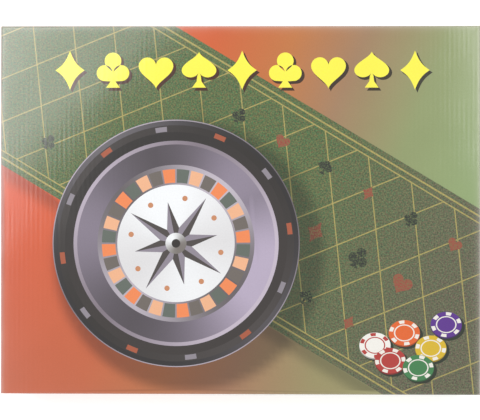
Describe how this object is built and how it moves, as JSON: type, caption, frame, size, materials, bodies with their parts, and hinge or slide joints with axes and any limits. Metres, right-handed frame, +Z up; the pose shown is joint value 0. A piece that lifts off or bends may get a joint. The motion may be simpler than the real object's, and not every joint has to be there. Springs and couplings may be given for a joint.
{
  "type": "roulette set case",
  "caption": "Flat printed corrugated game carton with a hinged, skirted lid; inside, a board platform holds a roulette wheel that turns, a chip rack, a rake and a folded cloth.",
  "frame": {"origin": "middle of the case's underside", "axes": "+Z up, +Y towards the lid's hinge, which is the top edge of the picture, +X to the right"},
  "size_m": [0.345, 0.265, 0.07],
  "materials": {
    "printed_board": "litho-printed paper on E-flute board, gloss varnish outside",
    "plain_board": "uncoated kraft board",
    "felt": "napped felt with printed lines",
    "black_plastic": "injection moulded, polished",
    "number_foil": "printed foil",
    "silver": "bright vacuum-metallised plastic",
    "steel": "turned",
    "nylon": "natural nylon",
    "ball": "polished steel",
    "clear_plastic": "clear moulded styrene",
    "chip_purple": "moulded",
    "chip_orange": "moulded",
    "chip_yellow": "moulded",
    "chip_white": "moulded",
    "chip_red": "moulded",
    "chip_green": "moulded"
  },
  "bodies": {
    "root": {"floor_panel": "printed_board", "front_wall": "printed_board", "back_wall": "printed_board", "left_wall": "printed_board", "right_wall": "printed_board", "folded_cloth": "felt", "insert_platform": "plain_board", "balls": "ball", "wheel_bowl": "black_plastic", "deflectors": "silver", "spindle": "steel", "thrust_washer": "nylon"},
    "lid": {"lid_panel": "printed_board", "lid_front_skirt": "printed_board", "lid_left_skirt": "printed_board", "lid_right_skirt": "printed_board"},
    "rotor": {"rotor_disc": "black_plastic", "rotor_bush": "nylon", "number_ring": "number_foil", "fret_ring": "silver", "turret_stem": "silver", "turret_arms": "silver", "turret_finial": "silver"},
    "rack": {"rack_tray": "clear_plastic", "chips_purple": "chip_purple", "chips_orange": "chip_orange", "chips_yellow": "chip_yellow", "chips_white": "chip_white", "chips_red": "chip_red", "chips_green": "chip_green"},
    "cover": {"rack_cover": "clear_plastic"},
    "rake": {"rake_head": "black_plastic", "rake_handle": "black_plastic"}
  },
  "joints": [
    {"name": "lid_hinge", "type": "hinge", "parent": "root", "child": "lid", "pos_m": [0, 0.1325, 0.07], "axis": [-1, 0, 0], "range_deg": [0, 195]},
    {"name": "rotor_spin", "type": "hinge", "parent": "root", "child": "rotor", "pos_m": [0.0364, 0.0018, 0.0058], "axis": [0, 0, 1], "continuous": true},
    {"name": "rack_lift", "type": "slide", "parent": "root", "child": "rack", "axis": [0, 0, 1], "range_m": [0, 0.018]},
    {"name": "rack_cover_lift", "type": "slide", "parent": "rack", "child": "cover", "axis": [0, 0, 1], "range_m": [0, 0.015]},
    {"name": "rake_lift", "type": "slide", "parent": "root", "child": "rake", "axis": [0, 0, 1], "range_m": [0, 0.045]}
  ]
}
